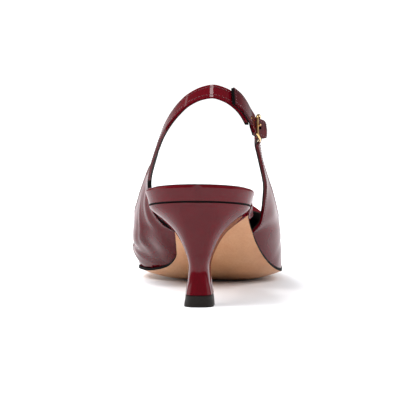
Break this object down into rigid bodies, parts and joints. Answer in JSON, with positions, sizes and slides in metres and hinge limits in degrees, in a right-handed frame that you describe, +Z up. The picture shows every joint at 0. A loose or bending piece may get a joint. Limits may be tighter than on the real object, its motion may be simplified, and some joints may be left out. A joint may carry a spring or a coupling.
{
  "type": "slingback pump",
  "caption": "Right slingback pump with a pointed closed toe, an open back held by a buckled strap round the heel, and a small flared heel.",
  "frame": {"origin": "centre of the heel's tread, on the floor that the heel and the ball of the sole stand on", "axes": "+Z up, +Y towards the toe, +X towards the outer side of the foot"},
  "size_m": [0.0807, 0.2499, 0.1141],
  "materials": {
    "patent_leather": "glossy burgundy patent",
    "sole_leather": "smooth natural tan",
    "rubber": "matt black",
    "gold_plated_metal": "polished pale gold"
  },
  "bodies": {
    "root": {"upper": "patent_leather", "buckle_strap": "patent_leather", "insole": "patent_leather", "heel": "patent_leather", "outsole": "sole_leather", "top_piece": "rubber", "buckle_frame": "gold_plated_metal", "buckle_prong": "gold_plated_metal"}
  },
  "joints": []
}
